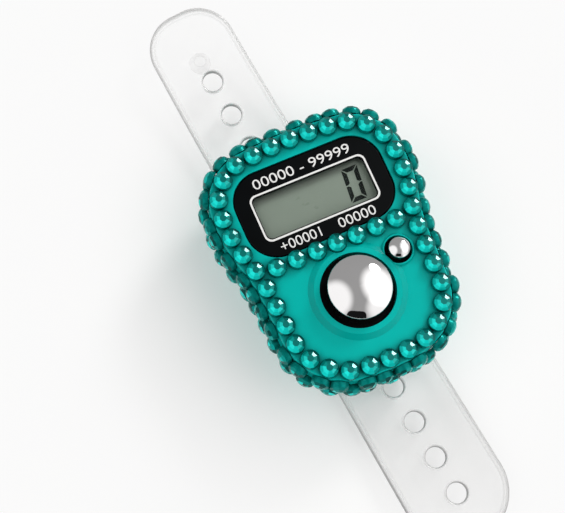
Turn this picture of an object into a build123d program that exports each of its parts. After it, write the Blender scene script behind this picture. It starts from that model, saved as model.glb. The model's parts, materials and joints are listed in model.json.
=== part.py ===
"""Finger-worn digital tally counter: a studded two-piece case with a small display,
a domed count button, a small reset button and a clear strap threaded through the back.

Frame: +Z points out of the display, +Y towards the display end of the case, and the
origin is on the resting plane under the middle of the case. Sizes are millimetres.
"""

from build123d import *
from math import atan, atan2, cos, degrees, pi, radians, sin, tan
import os

os.makedirs("parts", exist_ok=True)

# Case outline: how far the line of the face stones clears what it goes round, and its bends
crown_margin = 2.53  # display end of the line, beyond the mask
keel_margin = 3.42  # button end of the line, beyond the count ring
shoulder_margin = 2.125  # beside the mask
waist_margin = 1.63  # beside the reset ring
hip_margin = 3.95  # beside the count ring
ring_gap = 1.45  # between the mask and the count ring
crown_half = 1.60  # half length of the level stretch at either end
shoulder_drop = 0.85  # how far the display end falls away towards its corners
hip_rise = 0.90  # how far the button end rises towards its corners
shoulder_fall = 2.17  # start of the waist, below the middle of the mask
waist_lift = 6.50  # end of the waist, above the middle of the count button
bend_run = 2.42  # length of side that either of those bends takes up
crown_radius = 30.0
corner_radius = 6.8
hip_radius = 8.2
keel_radius = 20.0

# Case walls
flange = 0.5  # edge of the front cover that shows above the shell
face_wall = 1.6
face_margin = 1.40  # face edge outside the line of stones
shell_step = 0.05  # shell rim outside the face edge
shell_bore = 0.25  # inside of the shell, outside the line of stones
draft = 2.0  # slope of the studded wall, degrees
belly_margin = 0.42  # studded wall below its stones
belly_slope = 25.0  # slope of the wall under that, degrees
belly_round = 1.2
lip_gap = 0.10
lip_wall = 1.0
lip_depth = 2.0
edge_round = 0.25

# Cut stones
stone_d = 2.80
stone_height = 1.35
stone_girdle = 0.25
stone_shoulder = 0.80  # height of the step between the two rows of facets
stone_shoulder_d = 2.24
stone_table_d = 1.10
stone_sides = 8
glue = 0.03
face_space = 0.10  # least room between the stones of a row
side_space = 0.20
divider_space = 0.25
row_gap = 0.05  # between the two side rows
seat_gap = 0.06
divider_lift = 0.28  # middle of the row under the window, above the count ring
divider_tuck = 0.28  # how far its end stones tuck in between the face stones

# Window and display
view_size = (17.35, 6.50)
view_corner = 0.9
mask_side = 2.75  # mask beside the view
mask_band = 3.30  # mask above and below the view
mask_shift = 0.27  # centre of the mask above the centre of the view
mask_corner = 4.6
mask_recess = 0.80
mask_depth = 0.70
mask_gap = 0.10
lens_ledge = 0.45
lens_thickness = 0.40
lens_border = 0.60
lcd_side = 1.575  # display glass beside the view
lcd_band = 1.25  # display glass above and below the view
lcd_gap = 0.15
lcd_lift_gap = 0.05
polariser = 0.15
lcd_thickness = 1.50
reflector = 0.15
film_inset = 0.5
zebra_end = 1.25  # rubber connector short of the glass at either end
zebra_width = 1.8
zebra_inset = 0.25
display_lift = 1.50  # room for the chip between board and display

# Buttons
count_r = 4.60
count_well = 0.90  # gap round the cap
count_ring = 1.65  # foot of the raised ring outside the well
count_crest = 0.80  # crest of the ring outside the well
count_ring_height = 0.45
count_side = 2.60  # straight side of the cap above the face
count_crown = 1.50
count_hold = 0.35  # flange behind the face outside the well
count_travel = 0.90
reset_r = 1.55
reset_well = 0.50
reset_ring = 0.40
reset_crest = 0.20
reset_ring_height = 0.35
reset_side = 1.50
reset_crown = 0.65
reset_hold = 0.30
reset_travel = 0.70
reset_space = 0.18  # between the flanges of the two buttons
reset_angle = 22.37  # direction of the reset button from the count button, degrees
button_flange = 0.80
button_gap = 0.05
cap_round = 0.15
cap_wall = 0.90

# Rubber domes under the buttons
count_dome_r = 3.5
count_dome_top_r = 1.9
reset_dome_r = 1.75
reset_dome_top_r = 0.95
dome_foot = 0.50
dome_foot_width = 0.50
dome_web = 0.35
pill_thickness = 0.40
pill_margin = 0.20
pill_gap = 0.02

# Strap and its channel in the back
strap_thickness = 1.2
strap_half_length = 45.7
strap_near_width = 16.1
strap_far_width = 13.6
strap_near_flat = 1.1  # level stretch across the near end, between its rounded corners
strap_far_flat = 4.6
strap_edge_round = 0.35
strap_turn = 6.38  # how far the strap is turned in its channel, degrees
strap_shift = -1.30
strap_gap = 0.25
strap_hole_d = 3.0
strap_hole_pitch = 5.95
near_hole_inset = 7.30  # last hole from the near end
near_hole_count = 4
far_hole_inset = 11.83  # last hole from the far end
far_hole_count = 3
lift_clear = 2.6  # where the far end starts to rise, beyond the line of stones
lift_radius = 136.0
stud_inset = 7.75
stud_neck_d = 1.7
stud_neck = 1.0
stud_head_d = 3.3
stud_head = 0.9
channel_side = 1.00
channel_gap = 0.30
bar_inset = 6.9
bar_width = 3.0
bar_thickness = 0.75
bar_root = 0.8  # how far a bar runs into the wall at either end

# Rear floor, battery and its door
floor = 1.2
cell_d = 11.6
cell_height = 3.05
cell_cap_d = 9.2
cell_cap = 0.45
cell_gap = 0.05
cell_y = 1.8
cell_bore_gap = 0.25
cell_wall = 0.8
cell_wall_drop = 0.6
door_margin = 0.75  # door outside the cell's bore
door_corner = 2.0
door_plate = 0.80
door_gap = 0.15
door_screw_space = 2.2  # from the bore to the middle of the door's screw
door_screw_end = 1.85  # from there to the end of the door
door_screw_head_d = 2.4
door_screw_head = 0.5
door_screw_d = 1.3
door_screw_length = 3.0
door_boss_d = 3.2

# Board, contacts and case screws
contact_space = 0.80
board = 0.80
board_margin = 0.30
upper_screw_inset = 5.55  # from the side of the line of stones
lower_screw_space = 1.62  # between boss and button flange
lower_screw_angle = -39.5  # direction from the count button, degrees
screw_d = 1.6
screw_head_d = 2.9
screw_head = 1.0
screw_head_recess = 0.3
screw_tip_gap = 0.5
screw_gap = 0.02
screw_hole_gap = 0.15
post_d = 4.4
boss_d = 3.2
boss_gap = 0.05
contact_sheet = 0.20
contact_width = 3.0
contact_foot = 2.2
blob_d = 5.6
blob_height = 1.1
blob_shift = 1.0  # chip above the centre of the view
capacitor = (1.6, 0.8, 0.5)
capacitor_pitch = 3.0

# Heights worked out from the stack, from the resting plane up
strap_under = bar_thickness + strap_gap
strap_top = strap_under + strap_thickness
channel_top = strap_top + channel_gap
floor_top = channel_top + floor
cell_under = floor_top + cell_gap
cell_top = cell_under + cell_height
board_under = cell_top + contact_space
board_top = board_under + board
reflector_under = board_top + display_lift
lcd_under = reflector_under + reflector
lcd_top = lcd_under + lcd_thickness
polariser_top = lcd_top + polariser
lcd_ceiling = polariser_top + lcd_lift_gap
mask_floor = lcd_ceiling + lens_ledge
case_height = mask_floor + mask_recess
screw_seat = channel_top + screw_head_recess + screw_head

# Heights worked out from the face down
rim_z = case_height - flange
wall_under = case_height - face_wall
lip_z = wall_under - lip_depth
flange_top = wall_under - button_gap
flange_under = flange_top - button_flange
lean = radians(draft)
stone_r = stone_d / 2
upper_row_z = rim_z - seat_gap - stone_r * cos(lean)
lower_row_z = upper_row_z - (stone_d + row_gap) * cos(lean)
belly_z = lower_row_z - stone_r * cos(lean) - belly_margin

# Widths that follow the view and the buttons
mask_size = (view_size[0] + 2 * mask_side, view_size[1] + 2 * mask_band)
lcd_size = (view_size[0] + 2 * lcd_side, view_size[1] + 2 * lcd_band)
zebra_size = (lcd_size[0] - 2 * zebra_end, zebra_width)
count_well_r = count_r + count_well
count_ring_r = count_well_r + count_ring
count_crest_r = count_well_r + count_crest
count_flange_r = count_well_r + count_hold
reset_well_r = reset_r + reset_well
reset_ring_r = reset_well_r + reset_ring
reset_crest_r = reset_well_r + reset_crest
reset_flange_r = reset_well_r + reset_hold

# Places along the case: the mask, a gap and the count ring fill the line from end to end
face_run = crown_margin + mask_size[1] + ring_gap + 2 * count_ring_r + keel_margin
half_length = face_run / 2
mask_y = half_length - crown_margin - mask_size[1] / 2
window_y = mask_y - mask_shift
count_y = -half_length + keel_margin + count_ring_r
divider_y = count_y + count_ring_r + divider_lift
reset_reach = count_flange_r + reset_flange_r + reset_space
reset_x = reset_reach * cos(radians(reset_angle))
reset_y = count_y + reset_reach * sin(radians(reset_angle))
blob_y = window_y + blob_shift
bar_y = half_length - bar_inset
capacitor_spots = (
    (-reset_x, divider_y),
    (-reset_x + capacitor_pitch, divider_y),
    (-reset_x, reset_y),
)

# Half widths of the line and the bends of its waist
shoulder_half = mask_size[0] / 2 + shoulder_margin
waist_half = reset_x + reset_ring_r + waist_margin
hip_half = count_ring_r + hip_margin
shoulder_end = half_length - shoulder_drop
hip_end = -half_length + hip_rise
shoulder_y = mask_y - shoulder_fall
waist_y = count_y + waist_lift
upper_slope = atan2(shoulder_half - waist_half, shoulder_y - waist_y)
lower_slope = atan2(waist_half - hip_half, waist_y - hip_end)
shoulder_radius = bend_run / tan(abs(upper_slope) / 2)
waist_radius = bend_run / tan(abs(upper_slope - lower_slope) / 2)

# Row of stones between the window and the count button
divider_reach = waist_half - stone_d + divider_tuck
divider_count = int(2 * divider_reach / (stone_d + divider_space)) + 1
divider_pitch = 2 * divider_reach / (divider_count - 1)

# Battery door, round the cell and out to its screw
cell_bore_r = cell_d / 2 + cell_bore_gap
door_screw_y = cell_y - cell_bore_r - door_screw_space
door_low = door_screw_y - door_screw_end
door_high = cell_y + cell_bore_r + door_margin
door_size = (2 * (cell_bore_r + door_margin), door_high - door_low)
door_y = (door_low + door_high) / 2

# Case screws, clear of the display and of the count button
lower_screw_reach = count_flange_r + boss_d / 2 + lower_screw_space
upper_screw = (
    shoulder_half - upper_screw_inset,
    window_y + lcd_size[1] / 2 + lcd_gap + boss_d / 2,
)
lower_screw = (
    lower_screw_reach * cos(radians(lower_screw_angle)),
    count_y + lower_screw_reach * sin(radians(lower_screw_angle)),
)
screw_spots = [(side * x, y) for x, y in (upper_screw, lower_screw) for side in (-1, 1)]

# Strap: its holes and stud are set out from its ends, and the channel follows its edges
turn = radians(strap_turn)
near_holes = [
    -strap_half_length + near_hole_inset + index * strap_hole_pitch for index in range(near_hole_count)
]
far_holes = [
    strap_half_length - far_hole_inset - index * strap_hole_pitch for index in range(far_hole_count)
]
strap_holes = [(0, along) for along in near_holes + far_holes]
strap_near_corner = (strap_near_width - strap_near_flat) / 2
strap_far_corner = (strap_far_width - strap_far_flat) / 2
stud_at = strap_half_length - stud_inset
lift_start = half_length + lift_clear
channel_half = (strap_near_width + strap_far_width) / 4 + abs(strap_shift) + channel_side
channel_flare = tan(turn) - (strap_near_width - strap_far_width) / (4 * strap_half_length)


def finish(builder, name):
    """Label a finished piece and write it to its own file."""
    builder.part.label = name
    export_step(builder.part, f"parts/{name}.step")


def case_section(grow):
    """Plan outline of the case, grown outward from the line of the face stones."""
    right_side = (
        (0, half_length),
        (crown_half, half_length),
        (shoulder_half, shoulder_end),
        (shoulder_half, shoulder_y),
        (waist_half, waist_y),
        (hip_half, hip_end),
        (crown_half, -half_length),
        (0, -half_length),
    )
    rounds = (crown_radius, corner_radius, shoulder_radius, waist_radius, hip_radius, keel_radius)
    with BuildSketch() as section:
        with BuildLine():
            FilletPolyline(*right_side, radius=rounds)
            mirror(about=Plane.YZ)
        make_face()
        if grow:
            offset(amount=grow, kind=Kind.INTERSECTION)
    return section.sketch


def right_line(grow):
    """Right half of the grown outline, as one open line."""
    right_half = split(case_section(grow), bisect_by=Plane.YZ, keep=Keep.TOP)
    return Wire([edge for edge in right_half.edges() if edge.center().X > glue])


def row_count(grow, space):
    """How many stones fit round the grown outline."""
    return int(2 * right_line(grow).length / (stone_d + space))


def stone_stations(grow, count, phase):
    """Evenly spaced points on the grown outline, each with its outward direction."""
    half = right_line(grow)
    falls = (half @ 0).Y > 0  # the line runs from the display end to the button end
    stations = []
    for index in range(count):
        travel = (index + phase) * 2 * half.length / count
        side = 1 if travel <= half.length else -1
        reach = travel if side > 0 else 2 * half.length - travel
        along = reach if falls else half.length - reach
        point = half.position_at(along, position_mode=PositionMode.LENGTH)
        run = half.tangent_at(along, position_mode=PositionMode.LENGTH)
        outward = Vector(-run.Y, run.X) if falls else Vector(run.Y, -run.X)
        stations.append((Vector(side * point.X, point.Y), Vector(side * outward.X, outward.Y)))
    return stations


def wall_grow(z):
    """How far the studded wall stands outside the line of stones at a height."""
    return face_margin + shell_step + (rim_z - z) * tan(lean)


def wall_planes(z, count, phase):
    """Seats of one row of stones on the sloping wall."""
    planes = []
    for point, outward in stone_stations(wall_grow(z), count, phase):
        normal = Vector(outward.X * cos(lean), outward.Y * cos(lean), sin(lean))
        origin = Vector(point.X, point.Y, z) + normal * glue
        planes.append(Plane(origin=origin, x_dir=(-outward.Y, outward.X, 0), z_dir=normal))
    return planes


def channel_width(y):
    """Half width of the strap channel at a distance along the case."""
    return channel_half + channel_flare * y


def cap_radius(half_width, height):
    """Radius of the round cap with this half width and height."""
    return (half_width**2 + height**2) / (2 * height)


def strap_plane(z):
    """Level plane of the strap: its X runs across the strap and its Y along it."""
    return Plane(origin=(strap_shift, 0, z), x_dir=(cos(turn), sin(turn), 0), z_dir=(0, 0, 1))


# Upright plane down the middle of the strap: its X runs along the strap and its Y up
strap_side = Plane(
    origin=(strap_shift, 0, 0), x_dir=(-sin(turn), cos(turn), 0), z_dir=(cos(turn), sin(turn), 0)
)


# Front cover: flanged face plate with a lip that plugs into the shell
with BuildPart() as front_cover:
    with BuildSketch(Plane.XY.offset(rim_z)):
        add(case_section(face_margin))
    extrude(amount=flange)
    fillet(front_cover.faces().sort_by(Axis.Z)[-1].edges(), edge_round)
    with BuildSketch(Plane.XY.offset(lip_z)):
        add(case_section(shell_bore - lip_gap))
    extrude(amount=rim_z - lip_z)
    with BuildSketch(Plane.XY.offset(lip_z)):
        add(case_section(shell_bore - lip_gap - lip_wall))
    extrude(amount=wall_under - lip_z, mode=Mode.SUBTRACT)
    # raised rings round the two buttons
    for x, y, foot_r, crest_r, well_r, height in (
        (0, count_y, count_ring_r, count_crest_r, count_well_r, count_ring_height),
        (reset_x, reset_y, reset_ring_r, reset_crest_r, reset_well_r, reset_ring_height),
    ):
        with BuildSketch(Plane.XZ.offset(-y)):
            with BuildLine():
                Polyline(
                    (x, wall_under),
                    (x + foot_r, wall_under),
                    (x + foot_r, case_height),
                    (x + crest_r, case_height + height),
                    (x, case_height + height),
                    close=True,
                )
            make_face()
        revolve(axis=Axis((x, y, 0), (0, 0, 1)))
        with Locations((x, y, wall_under)):
            Cylinder(
                well_r,
                face_wall + height,
                align=(Align.CENTER, Align.CENTER, Align.MIN),
                mode=Mode.SUBTRACT,
            )
    # seats that clear the ring under the row of stones below the window
    with BuildSketch(Plane.XY.offset(case_height)):
        with Locations((0, divider_y)):
            with GridLocations(divider_pitch, 1, divider_count, 1):
                Circle(stone_r + seat_gap)
    extrude(amount=count_ring_height, mode=Mode.SUBTRACT)
    # recess for the mask, opening for the lens and pocket for the display glass
    with BuildSketch(Plane.XY.offset(case_height)):
        with Locations((0, window_y + mask_shift)):
            RectangleRounded(
                mask_size[0] + 2 * mask_gap, mask_size[1] + 2 * mask_gap, mask_corner + mask_gap
            )
    extrude(amount=-mask_recess, mode=Mode.SUBTRACT)
    with BuildSketch(Plane.XY.offset(mask_floor)):
        with Locations((0, window_y)):
            Rectangle(
                view_size[0] + 2 * (lens_border + lcd_gap), view_size[1] + 2 * (lens_border + lcd_gap)
            )
    extrude(amount=-(mask_floor - lip_z), mode=Mode.SUBTRACT)
    with BuildSketch(Plane.XY.offset(lcd_ceiling)):
        with Locations((0, window_y)):
            Rectangle(lcd_size[0] + 2 * lcd_gap, lcd_size[1] + 2 * lcd_gap)
    extrude(amount=-(lcd_ceiling - lip_z), mode=Mode.SUBTRACT)
    # bosses for the case screws
    with BuildSketch(Plane.XY.offset(board_top + boss_gap)):
        with Locations(*screw_spots):
            Circle(boss_d / 2)
    extrude(amount=wall_under - board_top - boss_gap)
    with BuildSketch(Plane.XY.offset(board_top + boss_gap)):
        with Locations(*screw_spots):
            Circle(screw_d / 2 + screw_gap)
    extrude(amount=wall_under - board_top - boss_gap, mode=Mode.SUBTRACT)
finish(front_cover, "front_cover")

# Rear shell: flared studded wall, sloping belly and a barred channel for the strap
with BuildPart() as rear_shell:
    with BuildSketch(Plane.XY.offset(belly_z)):
        add(case_section(wall_grow(belly_z)))
    extrude(amount=rim_z - belly_z, taper=draft)
    with BuildSketch(Plane.XY.offset(belly_z)):
        add(case_section(wall_grow(belly_z)))
    extrude(amount=-belly_z, taper=belly_slope)
    fillet(rear_shell.faces().sort_by(Axis.Z)[0].edges(), belly_round)
    with BuildSketch(Plane.XY.offset(floor_top)):
        add(case_section(shell_bore))
    extrude(amount=rim_z - floor_top, mode=Mode.SUBTRACT)
    # channel for the strap, wider at the display end, and the two bars that close it
    channel_end = half_length + wall_grow(belly_z)
    with BuildSketch():
        with BuildLine():
            Polyline(
                (-channel_width(channel_end), channel_end),
                (channel_width(channel_end), channel_end),
                (channel_width(-channel_end), -channel_end),
                (-channel_width(-channel_end), -channel_end),
                close=True,
            )
        make_face()
    extrude(amount=channel_top, mode=Mode.SUBTRACT)
    with BuildSketch():
        for y in (-bar_y, bar_y):
            with Locations((0, y)):
                Rectangle(2 * channel_width(y) + 2 * bar_root, bar_width)
    extrude(amount=bar_thickness)
    # posts and counterbored holes for the case screws
    with BuildSketch(Plane.XY.offset(floor_top)):
        with Locations(*screw_spots):
            Circle(post_d / 2)
    extrude(amount=board_under - boss_gap - floor_top)
    with BuildSketch(Plane.XY.offset(channel_top)):
        with Locations(*screw_spots):
            Circle(screw_d / 2 + screw_hole_gap)
    extrude(amount=board_under - channel_top, mode=Mode.SUBTRACT)
    with BuildSketch(Plane.XY.offset(channel_top)):
        with Locations(*screw_spots):
            Circle(screw_head_d / 2 + screw_hole_gap)
    extrude(amount=screw_seat - channel_top, mode=Mode.SUBTRACT)
    # ring wall round the cell, open where a contact reaches its side
    with BuildSketch(Plane.XY.offset(floor_top)):
        with Locations((0, cell_y)):
            Circle(cell_bore_r + cell_wall)
        with Locations((0, door_screw_y)):
            Circle(door_boss_d / 2)
    extrude(amount=cell_height - cell_wall_drop)
    with BuildSketch(Plane.XY.offset(floor_top)):
        with Locations((cell_bore_r, cell_y)):
            Rectangle(4 * cell_wall, contact_width + 2 * door_gap)
    extrude(amount=cell_height, mode=Mode.SUBTRACT)
    # stepped opening for the door and the hole for its screw
    with BuildSketch(Plane.XY.offset(channel_top)):
        with Locations((0, door_y)):
            RectangleRounded(
                door_size[0] + 2 * door_gap, door_size[1] + 2 * door_gap, door_corner + door_gap
            )
    extrude(amount=door_plate, mode=Mode.SUBTRACT)
    with BuildSketch(Plane.XY.offset(channel_top + door_plate)):
        with Locations((0, cell_y)):
            Circle(cell_bore_r)
    extrude(amount=cell_height + floor, mode=Mode.SUBTRACT)
    with BuildSketch(Plane.XY.offset(channel_top + door_plate)):
        with Locations((0, door_screw_y)):
            Circle(door_screw_d / 2 + screw_gap)
    extrude(amount=door_screw_length, mode=Mode.SUBTRACT)
finish(rear_shell, "rear_shell")

# Battery door with a raised pad that carries the cell
with BuildPart() as battery_door:
    with BuildSketch(Plane.XY.offset(channel_top)):
        with Locations((0, door_y)):
            RectangleRounded(*door_size, door_corner)
    extrude(amount=door_plate)
    with BuildSketch(Plane.XY.offset(channel_top + door_plate)):
        with Locations((0, cell_y)):
            Circle(cell_bore_r - door_gap)
    extrude(amount=floor - door_plate)
    with BuildSketch(Plane.XY.offset(channel_top)):
        with Locations((0, door_screw_y)):
            Circle(door_screw_d / 2 + screw_hole_gap)
    extrude(amount=door_plate, mode=Mode.SUBTRACT)
    with BuildSketch(Plane.XY.offset(channel_top)):
        with Locations((0, door_screw_y)):
            Circle(door_screw_head_d / 2 + screw_hole_gap)
    extrude(amount=door_screw_head, mode=Mode.SUBTRACT)
finish(battery_door, "battery_door")

with BuildPart() as battery_door_screw:
    with BuildSketch(Plane.XY.offset(channel_top)):
        with Locations((0, door_screw_y)):
            Circle(door_screw_head_d / 2)
    extrude(amount=door_screw_head)
    with BuildSketch(Plane.XY.offset(channel_top + door_screw_head)):
        with Locations((0, door_screw_y)):
            Circle(door_screw_d / 2)
    extrude(amount=door_screw_length - screw_tip_gap)
finish(battery_door_screw, "battery_door_screw")

with BuildPart() as case_screws:
    with BuildSketch(Plane.XY.offset(screw_seat - screw_head)):
        with Locations(*screw_spots):
            Circle(screw_head_d / 2)
    extrude(amount=screw_head)
    with BuildSketch(Plane.XY.offset(screw_seat)):
        with Locations(*screw_spots):
            Circle(screw_d / 2)
    extrude(amount=wall_under - screw_tip_gap - screw_seat)
finish(case_screws, "case_screws")

# Circuit board and what is soldered to it
with BuildPart() as circuit_board:
    with BuildSketch(Plane.XY.offset(board_under)):
        add(case_section(-board_margin))
        with Locations(*screw_spots):
            Circle(screw_d / 2 + screw_hole_gap, mode=Mode.SUBTRACT)
    extrude(amount=board)
finish(circuit_board, "circuit_board")

with BuildPart() as chip_blob:
    with BuildSketch(Plane.XZ.offset(-blob_y)):
        with BuildLine():
            Line((0, board_top), (blob_d / 2, board_top))
            RadiusArc(
                (blob_d / 2, board_top),
                (0, board_top + blob_height),
                -cap_radius(blob_d / 2, blob_height),
            )
            Line((0, board_top + blob_height), (0, board_top))
        make_face()
    revolve(axis=Axis((0, blob_y, 0), (0, 0, 1)))
finish(chip_blob, "chip_blob")

with BuildPart() as board_capacitors:
    with BuildSketch(Plane.XY.offset(board_top)):
        with Locations(*capacitor_spots):
            Rectangle(capacitor[0], capacitor[1])
    extrude(amount=capacitor[2])
finish(board_capacitors, "board_capacitors")

# Button cell and its two sprung contacts
with BuildPart() as button_cell:
    with BuildSketch(Plane.XY.offset(cell_under)):
        with Locations((0, cell_y)):
            Circle(cell_d / 2)
    extrude(amount=cell_height - cell_cap)
    with BuildSketch(Plane.XY.offset(cell_top - cell_cap)):
        with Locations((0, cell_y)):
            Circle(cell_cap_d / 2)
    extrude(amount=cell_cap)
    fillet(button_cell.edges().filter_by(GeomType.CIRCLE).group_by(Axis.Z)[0], edge_round)
finish(button_cell, "button_cell")

contact_z = board_under - contact_sheet / 2
with BuildPart() as battery_contact_positive:
    leg_x = cell_d / 2 + cell_gap + contact_sheet / 2
    with BuildSketch(Plane.XZ.offset(-cell_y)):
        with BuildLine():
            Polyline((leg_x, cell_under + cell_cap), (leg_x, contact_z), (leg_x + contact_foot, contact_z))
        trace(line_width=contact_sheet)
    extrude(amount=contact_width / 2, both=True)
finish(battery_contact_positive, "battery_contact_positive")

with BuildPart() as battery_contact_negative:
    root_x = cell_d / 2 + contact_foot
    tip_z = cell_top + cell_gap + contact_sheet / 2
    with BuildSketch(Plane.XZ.offset(-cell_y)):
        with BuildLine():
            Polyline((-root_x, contact_z), (-cell_d / 2, contact_z), (-contact_foot / 2, tip_z), (0, tip_z))
        trace(line_width=contact_sheet)
    extrude(amount=contact_width / 2, both=True)
finish(battery_contact_negative, "battery_contact_negative")

# Display: two bonded glasses with a contact ledge, films, rubber connector, lens and mask
ledge = zebra_size[1] + 2 * zebra_inset
lcd_low_y = window_y - lcd_size[1] / 2
with BuildPart() as lcd_glass:
    with BuildSketch(Plane.XY.offset(lcd_top - lcd_thickness / 2)):
        with Locations((0, window_y)):
            Rectangle(*lcd_size)
    extrude(amount=lcd_thickness / 2)
    with BuildSketch(Plane.XY.offset(lcd_under)):
        with Locations((0, window_y + ledge / 2)):
            Rectangle(lcd_size[0], lcd_size[1] - ledge)
    extrude(amount=lcd_thickness / 2)
finish(lcd_glass, "lcd_glass")

with BuildPart() as lcd_polariser:
    with BuildSketch(Plane.XY.offset(lcd_top)):
        with Locations((0, window_y)):
            Rectangle(lcd_size[0] - 2 * film_inset, lcd_size[1] - 2 * film_inset)
    extrude(amount=polariser)
finish(lcd_polariser, "lcd_polariser")

with BuildPart() as lcd_reflector:
    with BuildSketch(Plane.XY.offset(reflector_under)):
        with Locations((0, window_y + ledge / 2)):
            Rectangle(lcd_size[0] - 2 * film_inset, lcd_size[1] - ledge - 2 * film_inset)
    extrude(amount=reflector)
finish(lcd_reflector, "lcd_reflector")

with BuildPart() as zebra_strip:
    with BuildSketch(Plane.XY.offset(board_top)):
        with Locations((0, lcd_low_y + ledge / 2)):
            Rectangle(*zebra_size)
    extrude(amount=lcd_top - lcd_thickness / 2 - board_top)
finish(zebra_strip, "zebra_strip")

with BuildPart() as window_lens:
    with BuildSketch(Plane.XY.offset(mask_floor)):
        with Locations((0, window_y)):
            Rectangle(view_size[0] + 2 * lens_border, view_size[1] + 2 * lens_border)
    extrude(amount=-lens_thickness)
finish(window_lens, "window_lens")

with BuildPart() as window_mask:
    with BuildSketch(Plane.XY.offset(mask_floor)):
        with Locations((0, window_y + mask_shift)):
            RectangleRounded(*mask_size, mask_corner)
        with Locations((0, window_y)):
            RectangleRounded(*view_size, view_corner, mode=Mode.SUBTRACT)
    extrude(amount=mask_depth)
    fillet(window_mask.faces().sort_by(Axis.Z)[-1].outer_wire().edges(), edge_round)
finish(window_mask, "window_mask")


def push_button(x, y, cap_r, side, crown, flange_r, stem_r):
    """Domed button on a flange that the face holds in from behind, hollow where it has room."""
    edge_z = case_height + side
    with BuildPart() as button:
        with BuildSketch(Plane.XZ.offset(-y)):
            with BuildLine():
                Polyline(
                    (x, edge_z + crown),
                    (x, flange_under),
                    (x + flange_r, flange_under),
                    (x + flange_r, flange_top),
                    (x + cap_r, flange_top),
                    (x + cap_r, edge_z),
                )
                RadiusArc((x + cap_r, edge_z), (x, edge_z + crown), -cap_radius(cap_r, crown))
            make_face()
        revolve(axis=Axis((x, y, 0), (0, 0, 1)))
        fillet(button.edges().filter_by_position(Axis.Z, edge_z - glue, edge_z + glue), cap_round)
        if cap_r - cap_wall > stem_r:
            with BuildSketch(Plane.XY.offset(flange_under)):
                with Locations((x, y)):
                    Circle(cap_r - cap_wall)
                    Circle(stem_r, mode=Mode.SUBTRACT)
            extrude(amount=edge_z - flange_under, mode=Mode.SUBTRACT)
    return button


count_button = push_button(
    0, count_y, count_r, count_side, count_crown, count_flange_r, count_dome_top_r
)
finish(count_button, "count_button")
reset_button = push_button(
    reset_x, reset_y, reset_r, reset_side, reset_crown, reset_flange_r, reset_dome_top_r
)
finish(reset_button, "reset_button")


def rubber_dome(x, y, foot_r, top_r, travel):
    """Silicone dome that springs its button back, hollow down to the board."""
    top_z = flange_under - button_gap
    pad_z = board_top + travel + button_gap + pill_thickness + pill_gap
    web_r = foot_r - dome_foot_width
    with BuildPart() as dome:
        with BuildSketch(Plane.XZ.offset(-y)):
            with BuildLine():
                Polyline(
                    (x, pad_z),
                    (x + top_r - dome_web, pad_z),
                    (x + web_r - dome_web, board_top + dome_foot - dome_web),
                    (x + web_r - dome_web, board_top),
                    (x + foot_r, board_top),
                    (x + foot_r, board_top + dome_foot),
                    (x + web_r, board_top + dome_foot),
                    (x + top_r, top_z - dome_web),
                    (x + top_r, top_z),
                    (x, top_z),
                    close=True,
                )
            make_face()
        revolve(axis=Axis((x, y, 0), (0, 0, 1)))
    return dome


def carbon_pill(x, y, top_r, travel):
    """Conductive pill that closes the contact on the board at the end of the travel."""
    with BuildPart() as pill:
        with BuildSketch(Plane.XY.offset(board_top + travel + button_gap)):
            with Locations((x, y)):
                Circle(top_r - dome_web - pill_margin)
        extrude(amount=pill_thickness)
    return pill


finish(rubber_dome(0, count_y, count_dome_r, count_dome_top_r, count_travel), "count_dome")
finish(rubber_dome(reset_x, reset_y, reset_dome_r, reset_dome_top_r, reset_travel), "reset_dome")
finish(carbon_pill(0, count_y, count_dome_top_r, count_travel), "count_pill")
finish(carbon_pill(reset_x, reset_y, reset_dome_top_r, reset_travel), "reset_pill")


def crosses_strap(edge):
    """Whether an edge is the seam across the strap where its far end starts to rise."""
    return abs(strap_plane(0).to_local_coords(edge.center()).Y - lift_start) < strap_gap


# Strap: a flat moulding whose far end rises over the stud on its underside
strap_mid = strap_under + strap_thickness / 2
lift_turn = (strap_half_length - lift_start) / lift_radius * 180 / pi + 1
stud_lift = lift_radius - (lift_radius**2 - (stud_at - lift_start) ** 2) ** 0.5
stud_root = strap_mid + stud_lift
stud_head_top = stud_root - strap_thickness / 2 - stud_neck
with BuildPart() as strap:
    with BuildSketch(strap_side):
        with BuildLine():
            flat_run = Line((-strap_half_length, strap_mid), (lift_start, strap_mid))
            JernArc(flat_run @ 1, flat_run % 1, lift_radius, lift_turn)
        trace(line_width=strap_thickness)
    extrude(amount=strap_near_width, both=True)
    with BuildSketch(strap_plane(0)):
        with BuildLine():
            FilletPolyline(
                (-strap_near_width / 2, -strap_half_length),
                (strap_near_width / 2, -strap_half_length),
                (strap_far_width / 2, strap_half_length),
                (-strap_far_width / 2, strap_half_length),
                radius=(strap_near_corner, strap_near_corner, strap_far_corner, strap_far_corner),
                close=True,
            )
        make_face()
    extrude(amount=case_height, mode=Mode.INTERSECT)
    outline = strap.edges().filter_by(Axis.Z, reverse=True)
    fillet(outline.filter_by(crosses_strap, reverse=True), strap_edge_round)
    with BuildSketch(strap_plane(0)):
        with Locations(*strap_holes):
            Circle(strap_hole_d / 2)
    extrude(amount=case_height, mode=Mode.SUBTRACT)
    with BuildSketch(strap_plane(stud_head_top)):
        with Locations((0, stud_at)):
            Circle(stud_neck_d / 2)
    extrude(amount=stud_root - stud_head_top)
    with BuildSketch(strap_plane(stud_head_top)):
        with Locations((0, stud_at)):
            Circle(stud_head_d / 2)
    extrude(amount=-stud_head)
    fillet(strap.edges().filter_by(GeomType.CIRCLE).group_by(Axis.Z)[0], edge_round)
finish(strap, "strap")


def facet_slope(low_d, high_d, rise):
    """How far from upright the facets between two widths of a stone lean, in degrees."""
    return degrees(atan((low_d - high_d) / 2 * cos(pi / stone_sides) / rise))


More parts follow.
